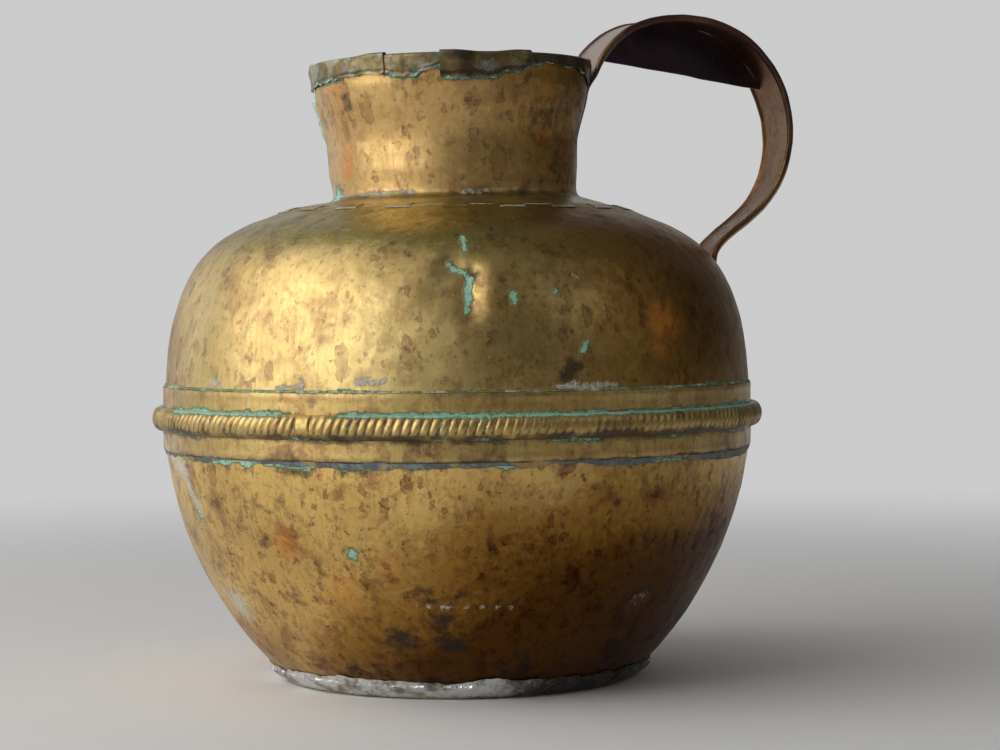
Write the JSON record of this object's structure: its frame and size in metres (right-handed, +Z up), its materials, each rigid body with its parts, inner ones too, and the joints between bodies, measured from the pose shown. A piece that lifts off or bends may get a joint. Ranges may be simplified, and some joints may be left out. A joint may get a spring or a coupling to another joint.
{
  "type": "pitcher",
  "caption": "Large round-bellied hammered brass water pitcher with a roped belt, a short flaring neck and a tall copper strap handle rising above the rim.",
  "frame": {"origin": "on the floor, under the middle of the round base", "axes": "+Z up along the body's axis; +X to the right and +Y away as seen from the front; the handle stands 20 degrees from +X towards +Y"},
  "size_m": [0.3662, 0.3396, 0.37],
  "materials": {
    "brass": "hand-hammered, aged and spotted",
    "binding_brass": "cut, folded and heavily tarnished",
    "copper": null,
    "soft_solder": null,
    "hard_solder": "solder fillet under green verdigris"
  },
  "bodies": {
    "root": {"bottom_disc": "brass", "foot_solder": "soft_solder", "lower_body": "brass", "upper_body": "brass", "neck": "brass", "neck_seam_solder": "hard_solder", "belt_band": "brass", "rope_moulding": "brass", "belt_solder_upper": "hard_solder", "belt_solder_lower": "hard_solder", "rim_strip_1": "binding_brass", "rim_strip_2": "binding_brass", "rim_strip_3": "binding_brass", "rim_strip_4": "binding_brass", "rim_strip_5": "binding_brass", "rim_strip_6": "binding_brass", "rim_strip_7": "binding_brass", "rim_strip_8": "binding_brass", "handle_strap": "copper", "handle_web": "copper", "neck_rivet_1": "copper", "neck_rivet_2": "copper", "shoulder_rivet_1": "copper", "shoulder_rivet_2": "copper", "shoulder_rivet_3": "copper"}
  },
  "joints": []
}
